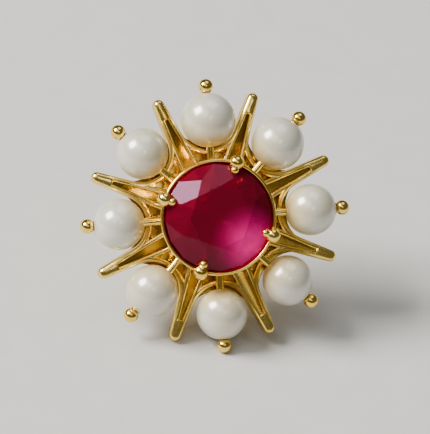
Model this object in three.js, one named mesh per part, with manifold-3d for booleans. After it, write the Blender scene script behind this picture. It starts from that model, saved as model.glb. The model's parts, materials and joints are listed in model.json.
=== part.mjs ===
// Nose pin: a gold flower with a faceted ruby held by four claws, eight pearls strung on radial
// pins, eight split rays between the pearls, and a straight post behind. It lies on a flat surface
// as it would by itself, on the post's end and the flower's lower edge. Millimetres, +Z up.
//
// The flower is modelled in its own frame: +Z out of its face, 0 on the back disc's rear face,
// +Y towards pearl_1, and pearl_1 to pearl_8 clockwise as seen from the front.

import * as THREE from 'three';
import { ConvexGeometry } from 'three/addons/geometries/ConvexGeometry.js';
import { mergeVertices } from 'three/addons/utils/BufferGeometryUtils.js';
import Module from 'manifold-3d';

// Flower
const PETALS = 8; // pearls, and rays between them
const PEARL_RING = 4.6; // radius of the circle through the pearls' centres
const PEARL_RADII = [1.31, 1.26, 1.24, 1.2, 1.21, 1.24, 1.24, 1.23]; // pearl_1 to pearl_8
const PEARL_HOLE = 0.24; // radius drilled for the pin
const FIT = 0.05; // clearance between pieces that are not soldered
const PAST = 1; // how far a hollow's shape runs past what it is cut from

// Pins that carry the pearls
const PIN_RADIUS = 0.19;
const PIN_HEIGHT = 1.75; // of the pins' axes, and so of the pearls' centres
const BALL_RADIUS = 0.35;
const BALL_STAND = 0.28; // from a pearl's surface to the centre of the ball that ends its pin

// Rays: two straight legs that meet in a round tip
const RAY_TIP = 5.88; // radius of the circle through the centres of the round tips
const TIP_RADIUS = 0.27;
const LEG_ANGLE = THREE.MathUtils.degToRad(4); // each leg's slope to the ray's own axis
const LEG_WALL = 0.26;
const GROOVE_END = 5.1; // where the groove between the legs stops

// Cups: curved bands that follow the pearls' inner sides, each with a crescent ledge at its foot
const CUP_WALL = 0.25;
const LEDGE = { width: 0.32, shift: 1.2 }; // shift of the inner edge's centre from the pearl's

// Base plate and its trims, as heights at the hub and at the ray tips
const HUB_RADIUS = 3;
const PLATE_BACK = { hub: 0.4, tip: 0.98 };
const PLATE_FLOOR = { hub: 0.75, tip: 1.24 };
const WALL_TOP = { hub: 1.7, tip: 1.52 };
const PIERCING = { ring: 2.9, radius: 0.2, side: THREE.MathUtils.degToRad(9.5) };

// Back disc and post
const DISC = { radius: 3.15, rim: 0.2, hub: 2.3 }; // the thin rim stands clear of the plate
const DISC_CHAMFER = 0.06;
const POST_RADIUS = 0.42;
const POST_LENGTH = 7; // from the back disc's rear face to the post's end
const SOCKET_DEPTH = 0.45;

// Ruby, a round brilliant
const RUBY = {
  radius: 2.55,
  table: 1.45,
  star: 1.95, // radius of the star facets' lower corners
  culet: 0.64, // radius of the lower girdle facets' lower corners
  crown: 0.68,
  girdle: 0.1,
  pavilion: 1.68,
  height: 2.7, // of the girdle's lower edge
};

// Collet, the ruby's cup
const RIM_WALL = 0.16;
const RIM_RISE = 0.08; // above the girdle's upper edge
const SEAT_WIDTH = 0.35;
const COLLET = { innerFoot: 1.9, outerFoot: 2.15, outerWaist: 2.3, waistHeight: 1.7 };

// Claws
const CLAWS = 4;
const CLAW_TAPER = 0.8; // of the radius of the ball that a rod ends in
const CLAW_FOOT = { ring: 2.25, height: 0.9, radius: 0.22 };
const CLAW_BALL = { ring: 2.72, height: 2.92, radius: 0.37 };
const CLAW_NIB = { ring: 2.34, height: 3.06, radius: 0.2 };

// Sides of the round forms
const SIDES = { small: 12, pearl: 16, post: 20, collet: 48, arc: 6 };
const RINGS = { ball: 7, pearl: 10 }; // from pole to pole

const HALF_STEP = Math.PI / PETALS;
const petalAngle = (index) => Math.PI / 2 - 2 * index * HALF_STEP;
const rayAngle = (index) => petalAngle(index) - HALF_STEP;
const indices = [...Array(PETALS).keys()];

const gold = { color: 0xe3b23c, metalness: 1, roughness: 0.22 };
const rubyRed = { color: 0x9c0f3c, metalness: 0, roughness: 0.05 };
const pearlWhite = { color: 0xf3ede1, metalness: 0, roughness: 0.3 };

const wasm = await Module();
wasm.setup();

/** A closed geometry as a manifold solid, without the flat triangles of a lathe's axis. */
function solid(geometry) {
  const bare = geometry.clone();
  bare.deleteAttribute('normal');
  bare.deleteAttribute('uv');
  const merged = mergeVertices(bare, 1e-5);
  const corners = merged.index.array;
  const triangles = [];
  for (let i = 0; i < corners.length; i += 3) {
    const [a, b, c] = corners.slice(i, i + 3);
    if (a !== b && b !== c && c !== a) triangles.push(a, b, c);
  }
  const vertProperties = merged.attributes.position.array;
  const mesh = new wasm.Mesh({ numProp: 3, vertProperties, triVerts: Uint32Array.from(triangles) });
  return new wasm.Manifold(mesh);
}

const join = (solids) => solids.reduce((whole, next) => whole.add(next));

/** A manifold solid back as a geometry. */
function geometryOf(body) {
  const { vertProperties, triVerts } = body.getMesh();
  const geometry = new THREE.BufferGeometry();
  geometry.setAttribute('position', new THREE.BufferAttribute(vertProperties, 3));
  geometry.setIndex(new THREE.BufferAttribute(triVerts, 1));
  geometry.computeVertexNormals();
  return geometry;
}

const onCircle = (radius, angle) => new THREE.Vector2(radius, 0).rotateAround(new THREE.Vector2(), angle);

/** A solid of revolution about the flower's axis, from [radius, height] pairs. */
function turned(profile, sides = SIDES.collet) {
  const points = profile.map(([radius, height]) => new THREE.Vector2(radius, height));
  return solid(new THREE.LatheGeometry(points, sides).rotateX(Math.PI / 2));
}

/** A flat outline raised through the whole height of the plate and its walls. */
function raised(shape) {
  const options = { depth: WALL_TOP.hub, bevelEnabled: false, curveSegments: SIDES.arc };
  return solid(new THREE.ExtrudeGeometry(shape, options));
}

/** A rod along +X from one radius to another, at a height. */
function rod(radius, from, to, height, sides = SIDES.small) {
  const cylinder = new THREE.CylinderGeometry(radius, radius, to - from, sides);
  return cylinder.rotateZ(Math.PI / 2).translate((from + to) / 2, 0, height);
}

/** A ball with its poles on the line through the flower's axis. */
function ball({ ring, height, radius }) {
  return new THREE.SphereGeometry(radius, SIDES.small, RINGS.ball)
    .rotateZ(Math.PI / 2)
    .translate(ring, 0, height);
}

/** The height at a radius beyond the hub of a surface that runs straight from hub to ray tips. */
const sloped = (surface, radius) =>
  THREE.MathUtils.mapLinear(radius, HUB_RADIUS, RAY_TIP, surface.hub, surface.tip);

/** The space between two such surfaces, wider than the flower. */
function between(lower, upper) {
  const edge = RAY_TIP + 2 * TIP_RADIUS;
  return turned([
    [0, lower.hub],
    [HUB_RADIUS, lower.hub],
    [edge, sloped(lower, edge)],
    [edge, sloped(upper, edge)],
    [HUB_RADIUS, upper.hub],
    [0, upper.hub],
  ]);
}

// Each leg's outer side is a straight line, tangent to the ray's tip and to the cup beside it.
const legDistance = TIP_RADIUS + RAY_TIP * Math.sin(LEG_ANGLE); // of that line from the flower's axis
const openAngle = HALF_STEP + LEG_ANGLE; // between that line and the next pearl's axis
const cupRadius = PEARL_RING * Math.sin(openAngle) - legDistance;

/** The plate's edge, seen from the front: round ray tips and the cups' arcs, joined by the legs. */
function starOutline() {
  const shape = new THREE.Shape();
  for (const index of [...indices].reverse()) {
    const ray = rayAngle(index);
    const tip = onCircle(RAY_TIP, ray);
    const tipTurn = Math.PI / 2 - LEG_ANGLE;
    shape.absarc(tip.x, tip.y, TIP_RADIUS, ray - tipTurn, ray + tipTurn, false);
    const petal = petalAngle(index);
    const cup = onCircle(PEARL_RING, petal);
    const cupTurn = Math.PI / 2 + openAngle;
    shape.absarc(cup.x, cup.y, cupRadius, petal - cupTurn, petal + cupTurn, true);
  }
  shape.closePath();
  return shape;
}

/** The groove between a ray's legs, along +X. */
function groove() {
  const start = COLLET.innerFoot;
  const width = (x) => (legDistance - x * Math.sin(LEG_ANGLE)) / Math.cos(LEG_ANGLE) - LEG_WALL;
  const shape = new THREE.Shape();
  shape.moveTo(start, -width(start));
  shape.lineTo(GROOVE_END, -width(GROOVE_END));
  shape.lineTo(GROOVE_END, width(GROOVE_END));
  shape.lineTo(start, width(start));
  shape.closePath();
  return raised(shape);
}

/** The pocket between two rays and the cup before a pearl on +X. */
function pocket() {
  const apex = legDistance / Math.sin(openAngle);
  const end = PEARL_RING - cupRadius / 2;
  const width = (end - apex) * Math.tan(openAngle);
  const shape = new THREE.Shape();
  shape.moveTo(apex, 0);
  shape.lineTo(end, -width);
  shape.lineTo(end, width);
  shape.closePath();
  const cup = new THREE.Shape();
  cup.absarc(PEARL_RING, 0, cupRadius + CUP_WALL, 0, 2 * Math.PI, false);
  return raised(shape).subtract(raised(cup));
}

/** The ledge under the inner side of a pearl on +X, as a crescent between two arcs. */
function ledge() {
  const outer = new THREE.Shape();
  outer.absarc(PEARL_RING, 0, cupRadius + CUP_WALL / 2, 0, 2 * Math.PI, false);
  const inner = new THREE.Shape();
  inner.absarc(PEARL_RING + LEDGE.shift, 0, cupRadius - LEDGE.width + LEDGE.shift, 0, 2 * Math.PI, false);
  return raised(outer).subtract(raised(inner)).intersect(between(PLATE_BACK, PLATE_FLOOR));
}

/** The well under the ruby, whose side lies inside the collet's wall. */
function well() {
  const radius = (COLLET.innerFoot + COLLET.outerFoot) / 2;
  const top = WALL_TOP.hub + PAST;
  return turned([[0, 0], [radius, 0], [radius, top], [0, top]]);
}

/** The star-shaped plate with its rays, cups, ledges, pockets and pierced holes. */
function starPlate() {
  const grooveSolid = groove();
  const pocketSolid = pocket();
  const degrees = THREE.MathUtils.radToDeg;
  const hollows = join([well(), ...indices.flatMap((index) => [
    grooveSolid.rotate([0, 0, degrees(rayAngle(index))]),
    pocketSolid.rotate([0, 0, degrees(petalAngle(index))]),
  ])]);
  const aboveFloor = between(PLATE_FLOOR, { hub: WALL_TOP.hub + PAST, tip: WALL_TOP.tip + PAST });
  const holes = join(indices.flatMap((index) => [-1, 1].map((side) => {
    const spot = onCircle(PIERCING.ring, petalAngle(index) + side * PIERCING.side);
    const drill = new THREE.CylinderGeometry(PIERCING.radius, PIERCING.radius, 2 * PAST, SIDES.small);
    return solid(drill.rotateX(Math.PI / 2).translate(spot.x, spot.y, PLATE_BACK.hub));
  })));
  const ledgeSolid = ledge();
  const ledges = join(indices.map((index) => ledgeSolid.rotate([0, 0, degrees(petalAngle(index))])));
  return raised(starOutline())
    .intersect(between(PLATE_BACK, WALL_TOP))
    .subtract(hollows.intersect(aboveFloor))
    .add(ledges)
    .subtract(holes);
}

function collet() {
  const { radius, height, girdle, pavilion, culet } = RUBY;
  const inside = radius + FIT;
  const outside = inside + RIM_WALL;
  const rim = height + girdle + RIM_RISE;
  const slope = pavilion / (radius - culet / 2);
  const seat = height - FIT - SEAT_WIDTH * slope;
  return turned([
    [COLLET.innerFoot, PLATE_BACK.hub + FIT],
    [COLLET.outerFoot, PLATE_BACK.hub + FIT],
    [COLLET.outerWaist, COLLET.waistHeight],
    [outside - RIM_WALL / 3, height - RIM_WALL],
    [outside, height],
    [outside, rim - RIM_WALL / 3],
    [outside - RIM_WALL / 3, rim],
    [inside + RIM_WALL / 3, rim],
    [inside, rim - RIM_WALL / 3],
    [inside, height - FIT],
    [inside - SEAT_WIDTH, seat],
    [COLLET.innerFoot, COLLET.waistHeight - FIT],
    [COLLET.innerFoot, PLATE_BACK.hub + FIT],
  ]);
}

/** A tapered rod from one ball's centre to another's, in the plane y = 0. */
function taper(from, to) {
  const start = new THREE.Vector3(from.ring, 0, from.height);
  const end = new THREE.Vector3(to.ring, 0, to.height);
  const way = end.clone().sub(start);
  const top = to.radius * CLAW_TAPER;
  const cylinder = new THREE.CylinderGeometry(top, from.radius, way.length(), SIDES.small);
  const up = new THREE.Vector3(0, 1, 0);
  const turn = new THREE.Quaternion().setFromUnitVectors(up, way.clone().normalize());
  return cylinder.applyQuaternion(turn).translate(...start.add(end).multiplyScalar(0.5));
}

/** A claw that rises along the collet and ends in a ball with a nib over the ruby's edge. */
function claw() {
  return join([
    solid(taper(CLAW_FOOT, CLAW_BALL)),
    solid(ball(CLAW_BALL)),
    solid(taper(CLAW_BALL, CLAW_NIB)),
    solid(ball(CLAW_NIB)),
  ]);
}

/** A round brilliant: table, star, kite and girdle facets over mains and lower girdle facets. */
function brilliant() {
  const { radius, table, star, culet, crown, girdle, pavilion } = RUBY;
  const points = [new THREE.Vector3(0, 0, -pavilion)];
  const add = (ring, angle, height) => {
    const spot = onCircle(ring, angle);
    points.push(new THREE.Vector3(spot.x, spot.y, height));
  };
  const kiteSlope = crown / (radius - table);
  const mainSlope = pavilion / radius;
  for (const index of indices) {
    const main = petalAngle(index);
    const half = rayAngle(index);
    add(table, main, girdle + crown);
    add(star, half, girdle + (radius - star * Math.cos(HALF_STEP)) * kiteSlope);
    add(culet, half, (culet * Math.cos(HALF_STEP) - radius) * mainSlope);
    for (const angle of [main, half]) {
      add(radius, angle, girdle);
      add(radius, angle, 0);
    }
  }
  return new ConvexGeometry(points);
}

function backDisc() {
  return turned([
    [0, 0],
    [DISC.radius - DISC_CHAMFER, 0],
    [DISC.radius, DISC_CHAMFER],
    [DISC.radius, DISC.rim - DISC_CHAMFER],
    [DISC.radius - DISC_CHAMFER, DISC.rim],
    [DISC.hub, DISC.rim],
    [DISC.hub, PLATE_BACK.hub + FIT],
    [0, PLATE_BACK.hub + FIT],
  ]);
}

/** The claws, notched by a slightly larger ruby so that they clear the real one. */
function claws() {
  const scale = 1 + FIT / RUBY.radius;
  const notch = solid(brilliant().scale(scale, scale, scale).translate(0, 0, RUBY.height));
  const numbers = [...Array(CLAWS).keys()];
  const turns = numbers.map((number) => rayAngle((number * PETALS) / CLAWS));
  return join(turns.map((turn) => claw().rotate([0, 0, THREE.MathUtils.radToDeg(turn)]))).subtract(notch);
}

const ballRing = (index) => PEARL_RING + PEARL_RADII[index] + BALL_STAND;

/** The radial pins from the collet outwards, each ending in a ball. */
function pins() {
  return join(indices.flatMap((index) => {
    const pin = rod(PIN_RADIUS, COLLET.outerFoot, ballRing(index), PIN_HEIGHT);
    const end = ball({ ring: ballRing(index), height: PIN_HEIGHT, radius: BALL_RADIUS });
    return [pin, end].map((geometry) => solid(geometry.rotateZ(petalAngle(index))));
  }));
}

/** All the gold that is soldered into one: plate, rays, cups, collet, claws, pins and back disc. */
function setting() {
  const bore = POST_RADIUS + FIT;
  const socket = new THREE.CylinderGeometry(bore, bore, 2 * SOCKET_DEPTH, SIDES.post);
  return geometryOf(
    join([starPlate(), collet(), backDisc(), claws(), pins()]).subtract(solid(socket.rotateX(Math.PI / 2))),
  );
}

/** A pearl at the origin, drilled along X. */
function pearl(radius) {
  const sphere = new THREE.SphereGeometry(radius, SIDES.pearl, RINGS.pearl).rotateZ(Math.PI / 2);
  return geometryOf(solid(sphere).subtract(solid(rod(PEARL_HOLE, -radius - PAST, radius + PAST, 0))));
}

/** The plain post, with a round end. */
function post() {
  const shoulder = POST_RADIUS - POST_LENGTH;
  const arc = [...Array(SIDES.arc).keys()].map((step) => {
    const angle = ((step / SIDES.arc - 1) * Math.PI) / 2;
    return [POST_RADIUS * Math.cos(angle), shoulder + POST_RADIUS * Math.sin(angle)];
  });
  const top = SOCKET_DEPTH - FIT;
  const profile = [...arc, [POST_RADIUS, shoulder], [POST_RADIUS, top], [0, top]];
  return geometryOf(turned(profile, SIDES.post));
}

function piece(name, geometry, finish) {
  const mesh = new THREE.Mesh(geometry, new THREE.MeshStandardMaterial(finish));
  mesh.name = name;
  return mesh;
}

const flower = new THREE.Group();
const settingPiece = piece('setting', setting(), gold);
const postPiece = piece('post', post(), gold);
const rubyPiece = piece('ruby', brilliant(), rubyRed);
rubyPiece.position.z = RUBY.height;
flower.add(settingPiece, rubyPiece, postPiece);
for (const index of indices) {
  const mesh = piece(`pearl_${index + 1}`, pearl(PEARL_RADII[index]), pearlWhite);
  const centre = onCircle(PEARL_RING, petalAngle(index));
  mesh.position.set(centre.x, centre.y, PIN_HEIGHT);
  mesh.rotation.z = petalAngle(index);
  flower.add(mesh);
}

/** The vertices of a piece, of those within half a step of an angle if one is given. */
function vertices(mesh, angle) {
  const { position } = mesh.geometry.attributes;
  const numbers = [...Array(position.count).keys()];
  const all = numbers.map((number) => new THREE.Vector3().fromBufferAttribute(position, number));
  if (angle === undefined) return all;
  const way = onCircle(1, angle);
  const nearness = Math.cos(HALF_STEP / 2);
  return all.filter(({ x, y }) => x * way.x + y * way.y > nearness * Math.hypot(x, y));
}

/** The outward normal of the plane that touches three sets of vertices, which all lie within it. */
function restingNormal(sets, guess) {
  const normal = guess.clone();
  const furthest = (set) => set.reduce((a, b) => (b.dot(normal) > a.dot(normal) ? b : a));
  for (let turn = 0; turn < 10; turn += 1) {
    const [a, b, c] = sets.map(furthest);
    const side = b.clone().sub(a).cross(c.clone().sub(a)).normalize();
    normal.copy(side.multiplyScalar(Math.sign(side.dot(guess))));
  }
  return normal;
}

// The stud lies on the post's end, the ball of the lowest pearl and the tip of the ray beside it.
const lowest = PETALS / 2;
const down = restingNormal(
  [
    vertices(postPiece),
    vertices(settingPiece, petalAngle(lowest)),
    vertices(settingPiece, rayAngle(lowest)),
  ],
  new THREE.Vector3(0, -1, -1).normalize(),
);
const up = down.clone().negate();
const face = new THREE.Vector3(0, 0, 1);
const back = face.clone().projectOnPlane(up).negate().normalize(); // to +Y: the flower faces -Y
const basis = new THREE.Matrix4().makeBasis(back.clone().cross(up), back, up);
flower.quaternion.setFromRotationMatrix(basis).invert();

const group = new THREE.Group();
group.add(flower);
const box = new THREE.Box3().setFromObject(group, true);
const middle = box.getCenter(new THREE.Vector3());
flower.position.set(-middle.x, -middle.y, -box.min.z);

export default group;
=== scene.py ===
"""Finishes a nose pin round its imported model: a gold flower with a ruby, eight pearls and a post.

Shapes are made in the flower's own frame, in millimetres: +Z out of its face, 0 on the back
disc's rear face, +Y towards pearl_1, and the pearls clockwise seen from the front. The Workshop
then places each finished mesh in the row frame, in metres.
"""

import json
import logging
import math
from collections.abc import Callable, Iterable, Sequence
from dataclasses import dataclass, field
from enum import Enum

import bmesh
import bpy
from mathutils import Matrix, Vector, noise


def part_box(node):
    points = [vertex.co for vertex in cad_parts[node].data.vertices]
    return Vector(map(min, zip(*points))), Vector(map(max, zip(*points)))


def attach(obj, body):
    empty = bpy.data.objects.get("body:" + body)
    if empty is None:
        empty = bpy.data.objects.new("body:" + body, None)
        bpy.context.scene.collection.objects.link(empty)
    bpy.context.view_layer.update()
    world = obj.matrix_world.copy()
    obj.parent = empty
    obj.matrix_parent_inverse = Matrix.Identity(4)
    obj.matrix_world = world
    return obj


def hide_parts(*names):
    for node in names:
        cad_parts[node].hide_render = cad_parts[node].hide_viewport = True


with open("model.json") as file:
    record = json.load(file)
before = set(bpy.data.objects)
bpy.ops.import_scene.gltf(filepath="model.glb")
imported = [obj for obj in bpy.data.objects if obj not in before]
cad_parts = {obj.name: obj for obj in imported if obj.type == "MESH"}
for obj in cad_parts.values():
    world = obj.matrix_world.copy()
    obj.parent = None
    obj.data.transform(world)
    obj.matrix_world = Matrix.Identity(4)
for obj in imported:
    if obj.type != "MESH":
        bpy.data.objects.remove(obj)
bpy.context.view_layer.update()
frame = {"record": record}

logging.basicConfig(level=logging.INFO, format="%(message)s")
LOG = logging.getLogger("nose_pin")

MM = 0.001
PETALS = 8
HALF_STEP = math.pi / PETALS
QUARTER = math.pi / 2
OUT = Vector((0.0, 0.0, 1.0))
# In millimetres: points this near are one, and a point this far under a surface is on it.
WELD = 1e-5
TOUCH = 1e-4

Mesh = bpy.types.Mesh
Grid = bmesh.types.BMesh
Socket = bpy.types.NodeSocket
Triple = tuple[float, float, float]
Profile = list[tuple[float, float]]
Outline = list[Vector]


def petal_angle(index: int) -> float:
    """Angle of a pearl's axis about the flower's axis."""
    return QUARTER - 2 * index * HALF_STEP


def ray_angle(index: int) -> float:
    """Angle of the ray that follows a pearl clockwise."""
    return petal_angle(index) - HALF_STEP


def polar(radius: float, angle: float, height: float = 0.0) -> Vector:
    """Point at a radius, angle and height about the flower's axis."""
    return Vector((radius * math.cos(angle), radius * math.sin(angle), height))


# ---------------------------------------------------------------- node trees


@dataclass(frozen=True)
class Pattern:
    """A noise pattern, for patches of tone or for marks too shallow to model.

    Attributes:
        per_mm: how many patches or marks there are in a millimetre.
        detail: octaves of finer ones.
        low: the noise's value where a patch starts.
        high: its value where a patch is full.
        strength: share of the marks that tilts the light.
        depth: depth of the marks, in metres.
    """

    per_mm: float
    detail: float = 2.0
    low: float = 0.35
    high: float = 0.7
    strength: float = 0.0
    depth: float = 0.0


@dataclass
class NodeBuilder:
    """Adds and links nodes in a material or geometry tree.

    Attributes:
        tree: the node tree that is being built.
    """

    tree: bpy.types.NodeTree

    def add(self, kind: str, settings: dict | None = None, **inputs: object) -> bpy.types.Node:
        """Adds a node.

        Args:
            kind: the node's type name.
            settings: properties of the node itself.
            inputs: values or sockets for its inputs; an underscore stands for a space.

        Returns:
            The new node.
        """
        node = self.tree.nodes.new(kind)
        for key, value in (settings or {}).items():
            setattr(node, key, value)
        self.feed_all(node, **inputs)
        return node

    def feed_all(self, node: bpy.types.Node, **inputs: object) -> None:
        """Feeds inputs by their names; an underscore stands for a space."""
        for key, value in inputs.items():
            self.feed(node, key.replace("_", " "), value)

    def feed(self, node: bpy.types.Node, name: str | int, value: object) -> None:
        """Sets an input to a value, or links a socket to it.

        Args:
            node: the node whose input it is.
            name: the input's name or number.
            value: a constant or an output socket.
        """
        socket = node.inputs[name]
        if isinstance(value, Socket):
            self.tree.links.new(value, socket)
        else:
            socket.default_value = value

    def combine(self, kind: str, operation: str, first: object, second: object) -> Socket:
        """Combines two numbers or two vectors.

        Args:
            kind: Math for numbers, VectorMath for vectors.
            operation: what is done to them.
            first: the first value or socket.
            second: the second value or socket.

        Returns:
            The result, a number or a vector as the operation gives.
        """
        node = self.add(f"ShaderNode{kind}", {"operation": operation})
        self.feed(node, 0, first)
        self.feed(node, 1, second)
        gives_vector = kind == "VectorMath" and operation not in ("DISTANCE", "DOT_PRODUCT")
        return node.outputs["Vector" if gives_vector else "Value"]

    def mix(self, factor: object, first: object, second: object) -> Socket:
        """Mixes two colours.

        Args:
            factor: share of the second colour.
            first: colour or socket at 0.
            second: colour or socket at 1.

        Returns:
            The mixed colour.
        """
        node = self.add("ShaderNodeMix", {"data_type": "RGBA"})
        # The colour sockets share their names with others, so they go by number.
        for number, value in ((0, factor), (6, first), (7, second)):
            self.feed(node, number, (*value, 1.0) if isinstance(value, tuple) else value)
        return node.outputs[2]

    def map_range(self, value: Socket, low: float, high: float, first: float, last: float) -> Socket:
        """Maps a value from one range to another, clamped.

        Args:
            value: the socket to map.
            low: start of its range.
            high: end of its range.
            first: result at low.
            last: result at high.

        Returns:
            The result socket.
        """
        ends = {"From_Min": low, "From_Max": high, "To_Min": first, "To_Max": last}
        return self.add("ShaderNodeMapRange", Value=value, **ends).outputs["Result"]

    def noise(self, place: Socket, pattern: Pattern) -> Socket:
        """Adds a pattern's noise, for coordinates in metres."""
        sizes = {"Scale": pattern.per_mm / MM, "Detail": pattern.detail}
        return self.add("ShaderNodeTexNoise", Vector=place, **sizes).outputs["Fac"]

    def patches(self, place: Socket, pattern: Pattern, first: float = 0.0, last: float = 1.0) -> Socket:
        """A value that is first between a pattern's patches and last in them."""
        return self.map_range(self.noise(place, pattern), pattern.low, pattern.high, first, last)

    def relief(self, place: Socket, *patterns: Pattern) -> Socket:
        """Adds marks, each pattern over the one before.

        Args:
            place: the coordinates, in metres.
            patterns: the marks, finest first.

        Returns:
            The surface's direction.
        """
        under = {}
        for marks in patterns:
            sizes = {"Strength": marks.strength, "Distance": marks.depth}
            bump = self.add("ShaderNodeBump", Height=self.noise(place, marks), **sizes, **under)
            under = {"Normal": bump.outputs["Normal"]}
        return under["Normal"]


def new_material(name: str) -> tuple[bpy.types.Material, NodeBuilder, bpy.types.Node]:
    """Makes a material with a bare Principled shader.

    Args:
        name: the material's name.

    Returns:
        The material, a builder for its nodes, and its Principled node.
    """
    material = bpy.data.materials.new(name)
    material.use_nodes = True
    material.node_tree.nodes.clear()
    build = NodeBuilder(material.node_tree)
    shader = build.add("ShaderNodeBsdfPrincipled")
    build.add("ShaderNodeOutputMaterial", Surface=shader.outputs["BSDF"])
    return material, build, shader


# ---------------------------------------------------------------- finishes


class Polish(Enum):
    """How a stretch of gold is finished, as its roughness."""

    MIRROR = 0.14
    WORN = 0.2
    SATIN = 0.32


@dataclass(frozen=True)
class PaintedRecessShade:
    """Painted shade: the gold's colour darkened low between raised edges, where shade falls, but not on the
    underside.

    Attributes:
        foot: a point of the flower's axis at height 0, in the row frame, in metres.
        face: direction out of the flower's face.
        low: height up to which the painted shade is full, in metres.
        high: height above which there is no painted shade, in metres.
        under: cosine to the face up to which a surface is underside, and has no painted shade.
        side: cosine to the face from which it no longer is.
    """

    foot: Triple
    face: Triple
    low: float = 1.05 * MM
    high: float = 1.5 * MM
    under: float = -0.6
    side: float = -0.2

    def share(self, build: NodeBuilder, place: Socket, normal: Socket) -> Socket:
        """How deep the painted shade lies at a point.

        Args:
            build: builder for the material's nodes.
            place: the point's coordinates.
            normal: the surface's direction there.

        Returns:
            1 where the painted shade is full, low between raised edges; 0 on the raised edges and the
            underside.
        """
        offset = build.combine("VectorMath", "SUBTRACT", place, self.foot)
        height = build.combine("VectorMath", "DOT_PRODUCT", offset, self.face)
        facing = build.combine("VectorMath", "DOT_PRODUCT", normal, self.face)
        # Painted shade: the lower the surface lies, the darker its colour.
        depth = build.map_range(height, self.low, self.high, 1.0, 0.0)
        upper = build.map_range(facing, self.under, self.side, 0.0, 1.0)
        return build.combine("Math", "MULTIPLY", depth, upper)


@dataclass(frozen=True)
class GoldFinish:
    """Yellow gold with faint tone changes, hand-polishing marks, a softly uneven surface and, where given,
    shade painted low between raised edges.

    Attributes:
        name: the material's name.
        polish: how bright it is.
        recess_shade: where shade is painted into its colour low between raised edges, or None for a piece
            without painted shade.
        light: the metal's main colour.
        deep: its colour in darker patches.
        recess_shade_colour: its colour where the shade is painted, low between raised edges.
        glance: tint of what it reflects at a glancing angle.
        tone: the darker patches.
        marks: the polishing marks.
        lie: the unevenness of the surface.
        rough: its roughness between the marks and on them, as shares of the polish's.
    """

    name: str
    polish: Polish
    recess_shade: PaintedRecessShade | None = None
    light: Triple = (1.0, 0.75, 0.2)
    deep: Triple = (0.98, 0.63, 0.09)
    recess_shade_colour: Triple = (0.58, 0.38, 0.06)
    glance: Triple = (1.0, 0.95, 0.72)
    tone: Pattern = Pattern(0.9, detail=3.0)
    marks: Pattern = Pattern(6.0, low=0.3, high=0.75, strength=0.05, depth=0.01 * MM)
    lie: Pattern = Pattern(1.6, detail=1.0, strength=0.3, depth=0.02 * MM)
    rough: tuple[float, float] = (0.9, 1.2)

    def material(self) -> bpy.types.Material:
        """Builds the material.

        Returns:
            The material.
        """
        material, build, shader = new_material(self.name)
        coordinates = build.add("ShaderNodeTexCoord").outputs
        place = coordinates["Object"]
        colour = build.mix(build.patches(place, self.tone), self.light, self.deep)
        # Painted shade: low between raised edges the colour turns to the darker shade colour.
        if self.recess_shade:
            colour = build.mix(self.recess_shade.share(build, place, coordinates["Normal"]), colour, self.recess_shade_colour)
        rough = [self.polish.value * share for share in self.rough]
        build.feed_all(
            shader,
            Base_Color=colour,
            Roughness=build.patches(place, self.marks, *rough),
            Normal=build.relief(place, self.marks, self.lie),
            Metallic=1.0,
            Specular_Tint=(*self.glance, 1.0),
        )
        return material


@dataclass(frozen=True)
class PearlFinish:
    """White nacre: creamy body, a painted reflection of the gold towards the setting, and a glaze over
    faint growth marks.

    Attributes:
        middle: the flower's middle at the height of the pearls, in the row frame, in metres.
        near: distance from there at which the painted reflection of the gold is strongest, in metres.
        far: distance from there at which it has gone, in metres.
        name: the material's name.
        body: the nacre's main colour.
        cream: its warmer patches.
        reflected_gold: the gold's colour, painted as its reflection on the side towards the setting.
        reflected_gold_share: share of that painted reflection where it is strongest.
        rose: tint of the soft sheen towards its edges.
        warmth: the warmer patches.
        growth: the growth marks.
        lie: the unevenness of the surface.
        rough: its roughness between the growth marks and on them.
    """

    middle: Triple
    near: float = 3.4 * MM
    far: float = 4.7 * MM
    name: str = "pearl_nacre"
    body: Triple = (0.67, 0.66, 0.55)
    cream: Triple = (0.68, 0.63, 0.46)
    reflected_gold: Triple = (0.8, 0.6, 0.22)
    reflected_gold_share: float = 0.9
    rose: Triple = (1.0, 0.9, 0.84)
    warmth: Pattern = Pattern(0.5, low=0.4, high=0.65)
    growth: Pattern = Pattern(3.0, detail=3.0, low=0.3, strength=0.2, depth=0.012 * MM)
    lie: Pattern = Pattern(1.0, detail=1.0, strength=0.3, depth=0.04 * MM)
    rough: tuple[float, float] = (0.3, 0.42)

    def material(self) -> bpy.types.Material:
        """Builds the material.

        Returns:
            The material.
        """
        material, build, shader = new_material(self.name)
        place = build.add("ShaderNodeTexCoord").outputs["Object"]
        body = build.mix(build.patches(place, self.warmth), self.body, self.cream)
        # Painted reflection: each pearl takes on the gold's colour on its side towards the flower's middle.
        apart = build.combine("VectorMath", "DISTANCE", place, self.middle)
        tone = build.map_range(apart, self.near, self.far, self.reflected_gold_share, 0.0)
        build.feed_all(
            shader,
            Base_Color=build.mix(tone, body, self.reflected_gold),
            Roughness=build.patches(place, self.growth, *self.rough),
            Normal=build.relief(place, self.growth, self.lie),
            IOR=1.65,
            Coat_Weight=1.0,
            Coat_IOR=2.1,
            Coat_Roughness=0.2,
            Sheen_Weight=0.12,
            Sheen_Tint=(*self.rose, 1.0),
            Subsurface_Weight=0.08,
            Subsurface_Radius=(1.0, 0.8, 0.6),
            Subsurface_Scale=0.3 * MM,
        )
        return material


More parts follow.
